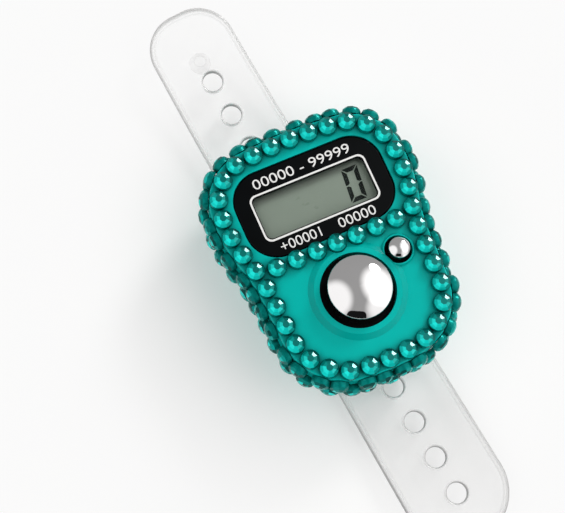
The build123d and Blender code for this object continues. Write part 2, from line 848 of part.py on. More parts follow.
# Cut stones: one faceted stone, set in rows on the face and round the wall
with BuildPart() as stone:
    with BuildSketch():
        RegularPolygon(stone_r, stone_sides, rotation=180 / stone_sides)
    extrude(amount=stone_girdle)
    shoulder_rise = stone_shoulder - stone_girdle
    extrude(
        stone.faces().sort_by(Axis.Z)[-1],
        amount=shoulder_rise,
        taper=facet_slope(stone_d, stone_shoulder_d, shoulder_rise),
    )
    table_rise = stone_height - stone_shoulder
    extrude(
        stone.faces().sort_by(Axis.Z)[-1],
        amount=table_rise,
        taper=facet_slope(stone_shoulder_d, stone_table_d, table_rise),
    )


def stone_row(name, planes):
    """Write one row of separate stones, each standing on its own seat."""
    with BuildPart() as row:
        with Locations(*[plane.location for plane in planes]):
            add(stone.part)
    finish(row, name)


face_z = case_height + glue
face_stations = stone_stations(0, row_count(0, face_space), 0)
stone_row("face_stones", [Plane((point.X, point.Y, face_z)) for point, _ in face_stations])
stone_row(
    "divider_stones",
    [Plane((-divider_reach + index * divider_pitch, divider_y, face_z)) for index in range(divider_count)],
)
side_count = row_count(wall_grow(upper_row_z), side_space)
stone_row("side_stones_upper", wall_planes(upper_row_z, side_count, 0.5))
stone_row("side_stones_lower", wall_planes(lower_row_z, side_count, 0))
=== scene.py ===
import json
import math
import random

import bmesh
import bpy
from mathutils import Matrix, Vector


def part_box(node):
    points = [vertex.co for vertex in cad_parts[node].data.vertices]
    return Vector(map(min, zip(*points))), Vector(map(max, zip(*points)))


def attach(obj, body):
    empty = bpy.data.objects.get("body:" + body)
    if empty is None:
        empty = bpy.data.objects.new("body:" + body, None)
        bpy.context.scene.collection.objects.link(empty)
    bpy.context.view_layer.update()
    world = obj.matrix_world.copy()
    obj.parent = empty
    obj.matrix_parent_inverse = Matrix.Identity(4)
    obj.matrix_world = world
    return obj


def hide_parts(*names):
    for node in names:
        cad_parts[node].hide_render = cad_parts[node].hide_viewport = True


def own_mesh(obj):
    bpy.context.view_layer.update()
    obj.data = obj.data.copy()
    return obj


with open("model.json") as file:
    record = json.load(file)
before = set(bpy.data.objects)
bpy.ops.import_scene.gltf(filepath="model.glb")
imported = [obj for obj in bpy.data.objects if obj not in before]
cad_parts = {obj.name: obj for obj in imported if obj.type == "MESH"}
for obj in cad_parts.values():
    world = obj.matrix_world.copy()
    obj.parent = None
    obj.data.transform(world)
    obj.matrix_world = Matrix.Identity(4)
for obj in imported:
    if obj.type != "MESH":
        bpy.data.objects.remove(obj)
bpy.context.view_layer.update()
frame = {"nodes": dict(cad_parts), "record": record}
nodes = frame["nodes"]
MM = 0.001
random.seed(7)

# The picture's frame, in pixels, and its camera
PHOTO_WIDTH = 565
FOCAL_PX = 1300.0
SENSOR = 36.0
CAMERA_AT = Vector((-34.84, -33.82, 191.8)) * MM
CAMERA_AIM = Vector((-7.19, 2.13, 13.0)) * MM
CAMERA_ROLL = -0.17
PRINCIPAL_RIGHT_PX = 3.7
PRINCIPAL_UP_PX = 3.4

# Directions in the picture, on the floor
PICTURE_RIGHT = Vector((0.9164, -0.4002, 0.0))
PICTURE_UP = Vector((0.4002, 0.9164, 0.0))


# Materials

# Nearly all of a noise lies between these two values
NOISE_LOW = 0.3
NOISE_HIGH = 0.7
# Occlusion at and below which the painted shade in a crease is at its darkest
CREASE_FULL = 0.2
SMOOTH = "SMOOTHSTEP"
# Uneven gloss of moulded stuff: its cells beside the tone's, its range beside the roughness
GLOSS_CELLS = 3
GLOSS_LOW = 0.85
GLOSS_HIGH = 1.2


class Wiring:
    """Short ways to add nodes to a node tree and join them."""

    def __init__(self, tree):
        self.tree = tree

    def node(self, kind, **values):
        made = self.tree.nodes.new(kind)
        for name, value in values.items():
            setattr(made, name, value)
        return made

    def link(self, a, b):
        self.tree.links.new(a, b)

    def put(self, source, socket):
        """Feed a socket from another one, or give it a constant."""
        if isinstance(source, bpy.types.NodeSocket):
            self.link(source, socket)
        else:
            socket.default_value = source

    def compute(self, operation, *sources):
        made = self.node("ShaderNodeMath", operation=operation)
        for source, socket in zip(sources, made.inputs):
            self.put(source, socket)
        return made.outputs["Value"]

    def map_range(self, source, start, end, low, high, kind="LINEAR"):
        """source, from start to end, spread from low to high."""
        made = self.node("ShaderNodeMapRange", interpolation_type=kind)
        limits = {"From Min": start, "From Max": end, "To Min": low, "To Max": high}
        for name, value in limits.items():
            made.inputs[name].default_value = value
        self.link(source, made.inputs["Value"])
        return made.outputs["Result"]

    def vector(self, operation, first, second, socket):
        """Vector maths on two inputs, the second by its socket's name or number."""
        made = self.node("ShaderNodeVectorMath", operation=operation)
        self.put(first, made.inputs[0])
        self.put(second, made.inputs[socket])
        return made


class Material(Wiring):
    """A node material with one Principled shader."""

    def __init__(self, name):
        self.mat = bpy.data.materials.new(name)
        self.mat.use_nodes = True
        super().__init__(self.mat.node_tree)
        self.shader = self.tree.nodes["Principled BSDF"]
        self.output = self.tree.nodes["Material Output"]
        self.where = self.node("ShaderNodeTexCoord").outputs["Object"]

    def set(self, **sockets):
        for name, value in sockets.items():
            self.shader.inputs[name.replace("_", " ")].default_value = value
        return self

    def attribute(self, name):
        return self.node("ShaderNodeAttribute", attribute_name=name).outputs["Fac"]

    def noise(self, per_mm, detail=2.0):
        """A noise with that many cells to the millimetre."""
        made = self.node("ShaderNodeTexNoise")
        made.inputs["Scale"].default_value = per_mm / MM
        made.inputs["Detail"].default_value = detail
        self.link(self.where, made.inputs["Vector"])
        return made.outputs["Fac"]

    def ramp(self, source, stops):
        """Colours at places from 0 to 1, blended between."""
        made = self.node("ShaderNodeValToRGB")
        for element, (position, colour) in zip(made.color_ramp.elements, (stops[0], stops[-1])):
            element.position = position
            element.color = (*colour, 1)
        for position, colour in stops[1:-1]:
            made.color_ramp.elements.new(position).color = (*colour, 1)
        self.link(source, made.inputs["Fac"])
        return made.outputs["Color"]

    def between(self, source, dark, light):
        """A colour that wanders between two near tones with a noise."""
        return self.ramp(source, ((NOISE_LOW, dark), (NOISE_HIGH, light)))

    def span(self, source, low, high):
        """A value that wanders from low to high with a noise."""
        return self.map_range(source, NOISE_LOW, NOISE_HIGH, low, high)

    def roughness(self, source, low, high):
        self.link(self.span(source, low, high), self.shader.inputs["Roughness"])
        return self

    def bump(self, source, height_mm, strength=1.0):
        made = self.node("ShaderNodeBump")
        made.inputs["Strength"].default_value = strength
        made.inputs["Distance"].default_value = height_mm * MM
        self.link(source, made.inputs["Height"])
        self.link(made.outputs["Normal"], self.shader.inputs["Normal"])
        return self

    def scale_base(self, factor):
        """Base colour times a factor."""
        base = self.shader.inputs["Base Color"]
        scaled = self.vector("SCALE", base.links[0].from_socket, factor, "Scale")
        self.link(scaled.outputs["Vector"], base)
        return self

    def shade_from_edge(self, axis, edge, reach, depth):
        """Painted shade: base colour darker at an edge of a recess, and plain from a reach inwards.
        """
        where = self.node("ShaderNodeSeparateXYZ")
        self.link(self.where, where.inputs["Vector"])
        return self.scale_base(
            self.map_range(where.outputs[axis], edge, edge + reach, depth, 1.0, SMOOTH)
        )

    def painted_crease_shade(self, reach_mm, depth):
        """Painted shade: base colour falls to a share of itself in corners and next to other
        pieces.
        """
        near = self.node("ShaderNodeAmbientOcclusion", samples=8)
        near.inputs["Distance"].default_value = reach_mm * MM
        return self.scale_base(
            self.map_range(near.outputs["AO"], CREASE_FULL, 1.0, depth, 1.0, SMOOTH)
        )

    def mix_surface(self, share, first, second):
        """The surface is the second shader by a share, and the first for the rest."""
        mixer = self.node("ShaderNodeMixShader")
        for source, socket in zip((share, first, second), mixer.inputs):
            self.put(source, socket)
        self.link(mixer.outputs["Shader"], self.output.inputs["Surface"])
        return self

    def lets_lamps_through(self, tint):
        """Light falls straight through, so clear plastic throws a pale shadow."""
        path = self.node("ShaderNodeLightPath").outputs
        lit = self.compute("MAXIMUM", path["Is Shadow Ray"], path["Is Diffuse Ray"])
        clear = self.node("ShaderNodeBsdfTransparent")
        self.put(tint, clear.inputs["Color"])
        return self.mix_surface(lit, self.shader.outputs["BSDF"], clear.outputs["BSDF"])

    def mostly_clear(self, tint, share):
        """Only a small share of the surface shows: the rest lets everything through."""
        clear = self.node("ShaderNodeBsdfTransparent")
        self.put(tint, clear.inputs["Color"])
        return self.mix_surface(share, clear.outputs["BSDF"], self.shader.outputs["BSDF"])

    def seen_pale(self, colour, near, far, from_mm, to_mm):
        """Rays from the camera, straight or through glass or off metal, see a paler floor, by a
        share that grows with the distance from the object: painted light that fades the object's
        shadow away from it."""
        place = self.node("ShaderNodeNewGeometry").outputs["Position"]
        away = self.node("ShaderNodeVectorMath", operation="LENGTH")
        self.link(place, away.inputs[0])
        share = self.map_range(
            away.outputs["Value"], from_mm * MM, to_mm * MM, near, far, SMOOTH
        )
        path = self.node("ShaderNodeLightPath").outputs
        seen = path["Is Camera Ray"]
        for other in ("Is Glossy Ray", "Is Transmission Ray"):
            seen = self.compute("MAXIMUM", seen, path[other])
        glow = self.node("ShaderNodeEmission")
        glow.inputs["Color"].default_value = (*colour, 1)
        part = self.compute("MULTIPLY", seen, share)
        return self.mix_surface(part, self.shader.outputs["BSDF"], glow.outputs["Emission"])


def grey(level):
    return (level, level, level)


def shade(colour, factor):
    return tuple(channel * factor for channel in colour)


def mottled(name, colour, rough, swing=0.06, cells=0.6, relief_mm=0.0, relief_cells=4.0, **sockets):
    """Plain moulded or cast stuff: a tone that wanders a little, uneven gloss, fine relief.

    Cells are counted to the millimetre.
    """
    made = Material(name)
    slow = made.noise(cells, detail=3.0)
    tone = made.between(slow, shade(colour, 1 - swing), shade(colour, 1 + swing))
    made.link(tone, made.shader.inputs["Base Color"])
    gloss = made.noise(cells * GLOSS_CELLS, detail=3.0)
    made.roughness(gloss, rough * GLOSS_LOW, rough * GLOSS_HIGH)
    if relief_mm:
        made.bump(made.noise(relief_cells), relief_mm)
    made.set(**sockets)
    return made


TEAL = (0.0, 0.44, 0.395)
case_teal = mottled(
    "case_teal", TEAL, 0.22, swing=0.03, cells=0.15, relief_mm=0.003, relief_cells=1.2,
    Specular_IOR_Level=0.07,
)
# Painted shade in the case's corners and creases
case_teal.painted_crease_shade(reach_mm=1.2, depth=0.35)
# Painted shade: a deeper teal for the sloping sides of the rings round the buttons
ring_painted_shade = mottled(
    "ring_painted_shade", shade(TEAL, 0.84), 0.22, swing=0.03, cells=0.15, Specular_IOR_Level=0.07
)
# Painted shade: a dark teal for the walls of the button wells
well_painted_shade = mottled(
    "well_painted_shade", (0.0, 0.1, 0.09), 0.5, swing=0.1, cells=1.0, Specular_IOR_Level=0.1
)
# Painted shade: near black for the buttons' flanges, in the gap round each button
flange_painted_shade = mottled(
    "flange_painted_shade", (0.002, 0.003, 0.003), 0.6, swing=0.2, cells=1.0, Specular_IOR_Level=0.1
)
mask_black = mottled(
    "mask_black", (0.0012, 0.0019, 0.0023), 0.07, swing=0.2, cells=0.3, relief_mm=0.001,
    relief_cells=0.8, Specular_IOR_Level=0.08,
)
print_white = mottled(
    "print_white", (0.78, 0.78, 0.77), 0.35, swing=0.05, cells=3.0, relief_mm=0.004,
    relief_cells=12.0,
)
chrome = mottled(
    "button_chrome", (0.74, 0.735, 0.74), 0.03, swing=0.02, cells=0.2, Metallic=1.0
)
steel = mottled(
    "steel", (0.55, 0.55, 0.54), 0.3, swing=0.1, cells=2.0, relief_mm=0.004, relief_cells=8.0,
    Metallic=1.0,
)
cell_steel = mottled(
    "cell_steel", (0.62, 0.62, 0.6), 0.25, swing=0.06, cells=1.0, relief_mm=0.003,
    relief_cells=6.0, Metallic=1.0,
)
board_green = mottled(
    "board_green", (0.02, 0.16, 0.06), 0.35, swing=0.15, cells=1.5, relief_mm=0.01,
    relief_cells=3.0,
)
chip_black = mottled(
    "chip_black", grey(0.012), 0.45, swing=0.2, cells=1.0, relief_mm=0.02, relief_cells=2.0
)
capacitor_tan = mottled(
    "capacitor_tan", (0.4, 0.29, 0.17), 0.5, swing=0.1, cells=3.0, relief_mm=0.005,
    relief_cells=8.0,
)
silicone = mottled(
    "silicone", (0.66, 0.66, 0.63), 0.5, swing=0.05, cells=1.0, relief_mm=0.006, relief_cells=5.0
)
carbon_rubber = mottled(
    "carbon_rubber", grey(0.015), 0.7, swing=0.2, cells=2.0, relief_mm=0.01, relief_cells=8.0
)
zebra_rubber = mottled(
    "zebra_rubber", (0.16, 0.05, 0.06), 0.6, swing=0.2, cells=2.0, relief_mm=0.01,
    relief_cells=6.0,
)
reflector_foil = mottled(
    "reflector_foil", (0.45, 0.47, 0.42), 0.35, swing=0.05, cells=4.0, relief_mm=0.004,
    relief_cells=10.0,
)
display_glass = mottled("display_glass", (0.3, 0.33, 0.28), 0.1, swing=0.04, cells=0.3)
lcd_ink = mottled(
    "lcd_ink", (0.006, 0.009, 0.008), 0.5, swing=0.1, cells=1.0, Specular_IOR_Level=0.1
)

# Display ground: painted shade from the frame's edge on the left and, more, along the top
LENS_LOW, LENS_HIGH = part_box("window_lens")
LENS_HIDDEN = 0.6 * MM
lcd_ground = mottled("lcd_ground", (0.205, 0.243, 0.205), 0.32, swing=0.03, cells=0.12)
lcd_ground.shade_from_edge("X", LENS_LOW.x + LENS_HIDDEN, reach=0.9 * MM, depth=0.75)
lcd_ground.shade_from_edge("Y", LENS_HIGH.y - LENS_HIDDEN, reach=-1.5 * MM, depth=0.42)

window_clear = Material("window_clear").set(
    Base_Color=(0.97, 0.99, 0.98, 1), Transmission_Weight=1.0, IOR=1.08
)
window_clear.roughness(window_clear.noise(0.5), 0.014, 0.02)
window_clear.lets_lamps_through((0.97, 0.98, 0.97, 1))

# Clear plastic by how much painted edge shade a point has: its colour, and shares of light and
# lamps let through
CLEAR_COLOURS = ((0.0, grey(0.99)), (0.35, grey(0.86)), (0.8, grey(0.62)), (1.0, grey(0.4)))
CLEAR_SHARES = ((0.0, grey(1.0)), (1.0, grey(0.15)))
LAMP_SHARES = ((0.0, grey(1.0)), (1.0, grey(0.3)))
EDGE_DULLING = 0.4


def clear_plastic(name, bend):
    """Clear soft plastic with painted shade at its edges: greyer, less clear and throwing a darker
    shadow where a point's edge shade is high.
    """
    made = Material(name).set(IOR=bend)
    # Painted shade at the edges of the strap and of its holes
    level = made.attribute("painted_edge_shade")
    gloss = made.span(made.noise(0.3), 0.02, 0.06)
    looks = {
        "Base Color": made.ramp(level, CLEAR_COLOURS),
        "Transmission Weight": made.ramp(level, CLEAR_SHARES),
        "Roughness": made.compute("MULTIPLY_ADD", level, EDGE_DULLING, gloss),
    }
    for socket, look in looks.items():
        made.link(look, made.shader.inputs[socket])
    made.bump(made.noise(0.2, detail=1.0), height_mm=0.01, strength=0.5)
    made.lets_lamps_through(made.ramp(level, LAMP_SHARES))
    return made


strap_clear = clear_plastic("strap_clear", bend=1.38)

STUD_SHARE = 0.06
stud_clear = Material("stud_clear").set(Base_Color=(*grey(0.75), 1))
stud_clear.roughness(stud_clear.noise(0.5), 0.3, 0.4)
stud_clear.mostly_clear(
    stud_clear.between(stud_clear.noise(0.5), grey(0.965), grey(0.985)), STUD_SHARE
)

# Stones: colours by a facet's painted light and shade, and what its polish does to the coat and the
# gloss
STONE = (0.0, 0.32, 0.285)
STONE_TONES = ((0.0, shade(STONE, 0.2)), (0.5, STONE), (1.0, (0.0, 0.8, 0.73)))
COAT_BY_POLISH = 0.32
ROUGH_BY_POLISH = -0.24


def cut_glass(name):
    """Foiled glass whose facets each have a painted tone of light and shade, and a polish."""
    made = Material(name).set(
        Metallic=0.35,
        Specular_IOR_Level=0.1,
        Specular_Tint=(0.1, 0.8, 0.75, 1),
        Coat_IOR=1.5,
        Coat_Roughness=0.1,
    )
    polish = made.attribute("facet_polish")
    gloss = made.span(made.noise(1.5), 0.28, 0.32)
    looks = {
        "Base Color": made.ramp(made.attribute("facet_painted_light"), STONE_TONES),
        "Coat Weight": made.compute("MULTIPLY", polish, COAT_BY_POLISH),
        "Roughness": made.compute("MULTIPLY_ADD", polish, ROUGH_BY_POLISH, gloss),
    }
    for socket, look in looks.items():
        made.link(look, made.shader.inputs[socket])
    # Painted shade round the stones' feet and between them
    return made.painted_crease_shade(reach_mm=0.8, depth=0.45)


stone_aqua = cut_glass("stone_aqua")


def dress(material, *names):
    """Give CAD nodes, or pieces, one material in place of what they came with."""
    for name in names:
        target = nodes[name] if isinstance(name, str) else name
        target.data.materials.clear()
        target.data.materials.append(material.mat)


dress(case_teal, "front_cover", "rear_shell", "battery_door")
dress(mask_black, "window_mask")
dress(window_clear, "window_lens")
dress(lcd_ground, "lcd_polariser")
dress(display_glass, "lcd_glass")
dress(reflector_foil, "lcd_reflector")
dress(zebra_rubber, "zebra_strip")
dress(chrome, "count_button", "reset_button")
dress(steel, "case_screws", "battery_door_screw")
dress(steel, "battery_contact_positive", "battery_contact_negative")
dress(cell_steel, "button_cell")
dress(board_green, "circuit_board")
dress(chip_black, "chip_blob")
dress(capacitor_tan, "board_capacitors")
dress(silicone, "count_dome", "reset_dome")
dress(carbon_rubber, "count_pill", "reset_pill")


def piece(name, mesh, material, body):
    """A finished mesh as a piece of the object that rides on a body."""
    made = bpy.data.objects.new(name, mesh)
    bpy.context.scene.collection.objects.link(made)
    if not mesh.materials:
        dress(material, made)
    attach(made, body)
    return made


# Second materials on CAD nodes, all painted shade: the buttons' flanges, and the wells and rings
# round the buttons

FLANGE_T = 0.9 * MM
FLANGE_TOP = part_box("count_button")[0].z + FLANGE_T
WELL_SPARE = 0.03 * MM
RING_SPARE = 0.1 * MM
# How far under a button's top the cover's face lies at most
FACE_DEPTH = 5.0 * MM
# How upright the normals of a ring's sloping sides are
SLOPE_LOW = 0.2
SLOPE_HIGH = 0.985


def added(mesh, material):
    """Which material of a mesh this one is, after it has been added where it's missing."""
    if material.mat.name not in mesh.materials:
        mesh.materials.append(material.mat)
    return mesh.materials.find(material.mat.name)


def dress_below(material, name, height):
    """Give the faces of a CAD node that lie under a height a second material."""
    mesh = nodes[name].data
    index = added(mesh, material)
    for face in mesh.polygons:
        if max(mesh.vertices[v].co.z for v in face.vertices) < height:
            face.material_index = index


def round_hole(mesh, button):
    """How far each point is from a button's axis, the hole's radius and the face's depth."""
    low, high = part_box(button)
    axis = (low + high) / 2
    floor_z = high.z - FACE_DEPTH
    aside = [(vert.co.xy - axis.xy).length for vert in mesh.vertices]
    hole = min(a for a, vert in zip(aside, mesh.vertices) if vert.co.z > floor_z)
    return aside, hole, floor_z


def dress_well(material, name, button):
    """Paint shade on the wall of the round hole a button stands in, with a dark material of its
    own.
    """
    mesh = nodes[name].data
    aside, hole, _ = round_hole(mesh, button)
    index = added(mesh, material)
    for face in mesh.polygons:
        if max(aside[v] for v in face.vertices) < hole + WELL_SPARE:
            face.material_index = index


def dress_ring(material, name, button, reach):
    """Paint shade on the sloping sides of the raised ring round a button's hole: a deeper tone of
    the case's teal.
    """
    mesh = nodes[name].data
    aside, hole, floor_z = round_hole(mesh, button)
    index = added(mesh, material)
    for face in mesh.polygons:
        away = [aside[v] for v in face.vertices]
        sloping = SLOPE_LOW < face.normal.z < SLOPE_HIGH and face.center.z > floor_z
        if sloping and min(away) > hole + RING_SPARE and max(away) < hole + reach:
            face.material_index = index


# Painted shade on each button's flange and on the wall of its well
for button in ("count_button", "reset_button"):
    dress_below(flange_painted_shade, button, FLANGE_TOP)
    dress_well(well_painted_shade, "front_cover", button)
# Painted shade on the slopes of the rings round the buttons
dress_ring(ring_painted_shade, "front_cover", "count_button", reach=3.0 * MM)
dress_ring(ring_painted_shade, "front_cover", "reset_button", reach=1.2 * MM)


# Cut stones: a table, two rings of flat facets and a round band, in place of the plain solids

STONE_R = 1.40
TABLE_R = 0.50
TABLE_H = 1.36
INNER_R = 0.98
INNER_SLOPE = 0.45
CROWN_R = 1.30
CROWN_SLOPE = 0.95
BAND = ((1.37, 0.58), (STONE_R, 0.3), (STONE_R, 0.0))
FACETS = 8
STEPS = 4
LIGHT_FROM = (PICTURE_RIGHT * 0.6 + PICTURE_UP * 0.8 + Vector((0, 0, 1))).normalized()

# Painted light and shade on the facets: their tones from the table down, and how strongly each tone
# is painted paler on the side away from the light
TABLE_TONE, TABLE_GATHER = 0.22, 0.6
INNER_TONES, INNER_GATHER = (0.36, 0.5), 1.5
CROWN_TONES, CROWN_GATHER = (0.16, 0.26), 0.9
BAND_TONE, BAND_GATHER = 0.05, 0.25
WALL_BAND_LIFT = 0.2
FOOT_TONE = 0.2
SPARKLE = 0.45
# Polish of the facets: one inner facet of each upright stone glints
GLINT = 3.0
CROWN_POLISH = 0.45
BAND_POLISH = 0.15
UPRIGHT = 0.9
# Turn of each stone about its axis, in degrees
SPIN = 2
SPIN_SWING = 6
# A stone that leans less than this takes its turn from the X axis
LEANING = 0.1
SAME_POINT = 1e-6
SAME_PLANE = 1e-5


def ring_points(radius, height, count):
    """A ring of points, in millimetres, each with a height of its own."""
    points = []
    for k in range(count):
        angle = 2 * math.pi * k / count
        points.append((radius * math.cos(angle), radius * math.sin(angle), height(k)))
    return points


def stone_points():
    """Rings of one stone, from the table down, in millimetres."""
    count = FACETS * STEPS
    half = math.pi / FACETS
    inner_h = TABLE_H - INNER_SLOPE * (INNER_R - TABLE_R) * math.cos(half)

    def crown_height(k):
        off = (2 * math.pi * k / count) % (2 * half) - half
        return inner_h - CROWN_SLOPE * (CROWN_R * math.cos(off) - INNER_R * math.cos(half))

    rings = [
        ring_points(TABLE_R, lambda k: TABLE_H, FACETS),
        ring_points(INNER_R, lambda k: inner_h, FACETS),
        ring_points(CROWN_R, crown_height, count),
    ]
    for radius, height in BAND:
        rings.append(ring_points(radius, lambda k, height=height: height, count))
    return rings


def add_stone(mesh, tone, polish, place):
    """Put one stone in a mesh, with a painted tone of light and shade on each facet. Light gathers
    in a clear stone on the side away from where it came in, so that side of each upright stone is
    painted paler; tables and bands are painted darker. The stones of the wall get facets painted
    paler or darker at random, a painted sparkle.
    """
    table, inner, crown, *band = [
        [mesh.verts.new(place @ (Vector(point) * MM)) for point in ring] for ring in stone_points()
    ]
    count = len(crown)
    axis = place.to_3x3().col[2].normalized()
    order = max(0.0, axis.z) ** 2

    def face(corners, value, gather, shine, flat=True):
        made = mesh.faces.new(corners)
        made.smooth = not flat
        made.normal_update()
        # Painted light: facets away from the light paler, and on the wall's stones paler or darker
        # at random
        away = (axis - made.normal).dot(LIGHT_FROM) * order
        sparkle = random.uniform(-SPARKLE, SPARKLE) * (1 - order) if flat else 0.0
        made[tone] = min(1.0, max(0.0, value + gather * away + gather * sparkle))
        made[polish] = shine

    middle = sum((vert.co for vert in table), Vector()) / FACETS
    facing = []
    for k in range(FACETS):
        outwards = inner[k].co + inner[(k + 1) % FACETS].co - middle * 2
        facing.append(outwards.dot(LIGHT_FROM))
    face(table, TABLE_TONE, TABLE_GATHER, 1.0)
    for k in range(FACETS):
        after = (k + 1) % FACETS
        shine = GLINT if order > UPRIGHT and facing[k] == max(facing) else 1.0
        slant = [table[k], inner[k], inner[after], table[after]]
        rim = [crown[(k * STEPS + step) % count] for step in range(STEPS + 1)]
        face(slant, random.uniform(*INNER_TONES), INNER_GATHER, shine)
        outer = [inner[k]] + rim + [inner[after]]
        face(outer, random.uniform(*CROWN_TONES), CROWN_GATHER, CROWN_POLISH)
    band_tone = BAND_TONE + WALL_BAND_LIFT * (1 - order)
    for upper, lower in zip([crown] + band, band):
        for k in range(count):
            after = (k + 1) % count
            ring = [upper[k], lower[k], lower[after], upper[after]]
            face(ring, band_tone, BAND_GATHER, BAND_POLISH, flat=False)
    face(band[-1][::-1], FOOT_TONE, 0.0, 0.0)


def joined_faces(source):
    """The faces of a mesh, in groups that hang together."""
    seen = set()
    groups = []
    for first in source.faces:
        if first in seen:
            continue
        group, queue = [], [first]
        seen.add(first)
        while queue:
            here = queue.pop()
            group.append(here)
            for edge in here.edges:
                for other in edge.link_faces:
                    if other not in seen:
                        seen.add(other)
                        queue.append(other)
        groups.append(group)
    return groups


def stone_seats(node):
    """Where each stone of a CAD row stands: its foot's middle and the way it faces."""
    source = bmesh.new()
    source.from_mesh(nodes[node].data)
    bmesh.ops.remove_doubles(source, verts=source.verts, dist=SAME_POINT)
    seats = []
    for stone in joined_faces(source):
        areas = {}
        for here in stone:
            key = tuple(round(v, 2) for v in here.normal)
            areas[key] = areas.get(key, 0.0) + here.calc_area()
        down = Vector(max(areas, key=areas.get)).normalized()
        points = list(dict.fromkeys(v for here in stone for v in here.verts))
        deepest = max(v.co.dot(down) for v in points)
        foot = [v.co for v in points if v.co.dot(down) > deepest - SAME_PLANE]
        middle = sum(foot, Vector()) / len(foot)
        seats.append((middle, -down))
    source.free()
    return seats


def finished(mesh, name, *materials):
    """A bmesh as a mesh, with its own materials where it has more than one."""
    data = bpy.data.meshes.new(name)
    for material in materials:
        data.materials.append(material.mat)
    mesh.to_mesh(data)
    mesh.free()
    return data


def wall(mesh, a, b, stuff=0):
    """Join two rings with as many points each by faces of one material."""
    for k in range(len(a)):
        after = (k + 1) % len(a)
        mesh.faces.new((a[k], a[after], b[after], b[k])).material_index = stuff


def stone_row(node):
    """One row of cut stones in place of a CAD node."""
    mesh = bmesh.new()
    tone = mesh.faces.layers.float.new("facet_painted_light")
    polish = mesh.faces.layers.float.new("facet_polish")
    for middle, axis in stone_seats(node):
        across = Vector((0, 0, 1)).cross(axis)
        across = across.normalized() if across.length > LEANING else Vector((1, 0, 0))
        turned = Matrix((across, axis.cross(across), axis)).transposed().to_4x4()
        turn = SPIN + random.uniform(-SPIN_SWING, SPIN_SWING)
        spin = Matrix.Rotation(math.radians(turn), 4, "Z")
        add_stone(mesh, tone, polish, Matrix.Translation(middle) @ turned @ spin)
    for edge in mesh.edges:
        edge.smooth = all(face.smooth for face in edge.link_faces)
    row = piece(node + "_cut", finished(mesh, node + "_cut"), stone_aqua, "case")
    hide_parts(node)


for row_name in ("face_stones", "divider_stones", "side_stones_upper", "side_stones_lower"):
    stone_row(row_name)


# Silicone domes: copies of the CAD domes, each on a mesh of its own


def soft_dome(node):
    """A copy of a dome that stands on the board, riding on the case."""
    made = piece(node + "_soft", nodes[node].data.copy(), silicone, "case")
    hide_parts(node)
    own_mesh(made)


soft_dome("count_dome")
soft_dome("reset_dome")


# Display: printed frame, plain numbers on the mask and one digit in segments

MASK_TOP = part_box("window_mask")[1].z
LCD_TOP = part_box("lcd_polariser")[1].z
WINDOW = (LENS_LOW + LENS_HIGH) / 2
INK = 0.012 * MM


def flat_outline(width, height, corner, steps=6):
    """Corner-rounded rectangle about the origin, in millimetres."""
    points = []
    for quarter in range(4):
        cx = (width / 2 - corner) * (1 if quarter in (0, 3) else -1)
        cy = (height / 2 - corner) * (1 if quarter in (0, 1) else -1)
        for step in range(steps + 1):
            angle = math.pi / 2 * (quarter + step / steps)
            points.append((cx + corner * math.cos(angle), cy + corner * math.sin(angle)))
    return points


def ink_frame(name, outer, inner, low):
    """A printed line between two outlines with as many points each."""
    mesh = bmesh.new()
    rings = []
    for points, lift in ((outer, 0), (outer, INK), (inner, INK), (inner, 0)):
        rings.append([
            mesh.verts.new((WINDOW.x + x * MM, WINDOW.y + y * MM, low + lift)) for x, y in points
        ])
    for a, b in zip(rings, rings[1:] + rings[:1]):
        wall(mesh, a, b)
    bmesh.ops.recalc_face_normals(mesh, faces=mesh.faces)
    piece(name, finished(mesh, name), print_white, "case")


ink_frame(
    "window_line",
    flat_outline(width=18.15, height=7.3, corner=1.1),
    flat_outline(width=17.6, height=6.75, corner=0.9),
    MASK_TOP,
)


def ink_prisms(name, polygons, low, material):
    """Flat printed shapes, each given as its corner points in metres."""
    mesh = bmesh.new()
    for points in polygons:
        lower = [mesh.verts.new((x, y, low)) for x, y in points]
        upper = [mesh.verts.new((x, y, low + INK)) for x, y in points]
        mesh.faces.new(lower[::-1])
        mesh.faces.new(upper)
        wall(mesh, lower, upper)
    bmesh.ops.recalc_face_normals(mesh, faces=mesh.faces)
    piece(name, finished(mesh, name), material, "case")


# Digit, in millimetres: its middle from the window's, its size, its bars and their gaps
DIGIT_AT = (6.3, 0.0)
DIGIT_W = 2.5
DIGIT_H = 5.2
BAR = 0.68
BAR_GAP = 0.09
CORNER_GAP = 1.6 * BAR_GAP
POINT_GAP = 0.8 * BAR_GAP
POINT_RISE = 0.45 * BAR
LEAN = math.tan(math.radians(6))


def digit_zero():
    """The six lit segments of a leaning zero, mirrored from the top and the upper right bar."""
    w, h, t, g = DIGIT_W / 2, DIGIT_H / 2, BAR, BAR_GAP
    top = [(-w + g, h), (w - g, h), (w - t - g, h - t), (-w + t + g, h - t)]
    side = [
        (w, h - CORNER_GAP),
        (w, g),
        (w - t / 2, POINT_GAP),
        (w - t, POINT_RISE),
        (w - t, h - t - CORNER_GAP),
    ]
    shapes = [top, side]
    shapes.append([(x, -y) for x, y in top[::-1]])
    shapes.append([(x, -y) for x, y in side[::-1]])
    shapes.append([(-x, y) for x, y in side[::-1]])
    shapes.append([(-x, -y) for x, y in side])
    placed = []
    for shape in shapes:
        placed.append([
            (WINDOW.x + (DIGIT_AT[0] + x + LEAN * y) * MM, WINDOW.y + (DIGIT_AT[1] + y) * MM)
            for x, y in shape
        ])
    return placed


ink_prisms("display_digit", digit_zero(), LCD_TOP, lcd_ink)

# How high a figure of the font is beside the font's size
FIGURE_HEIGHT = 0.7


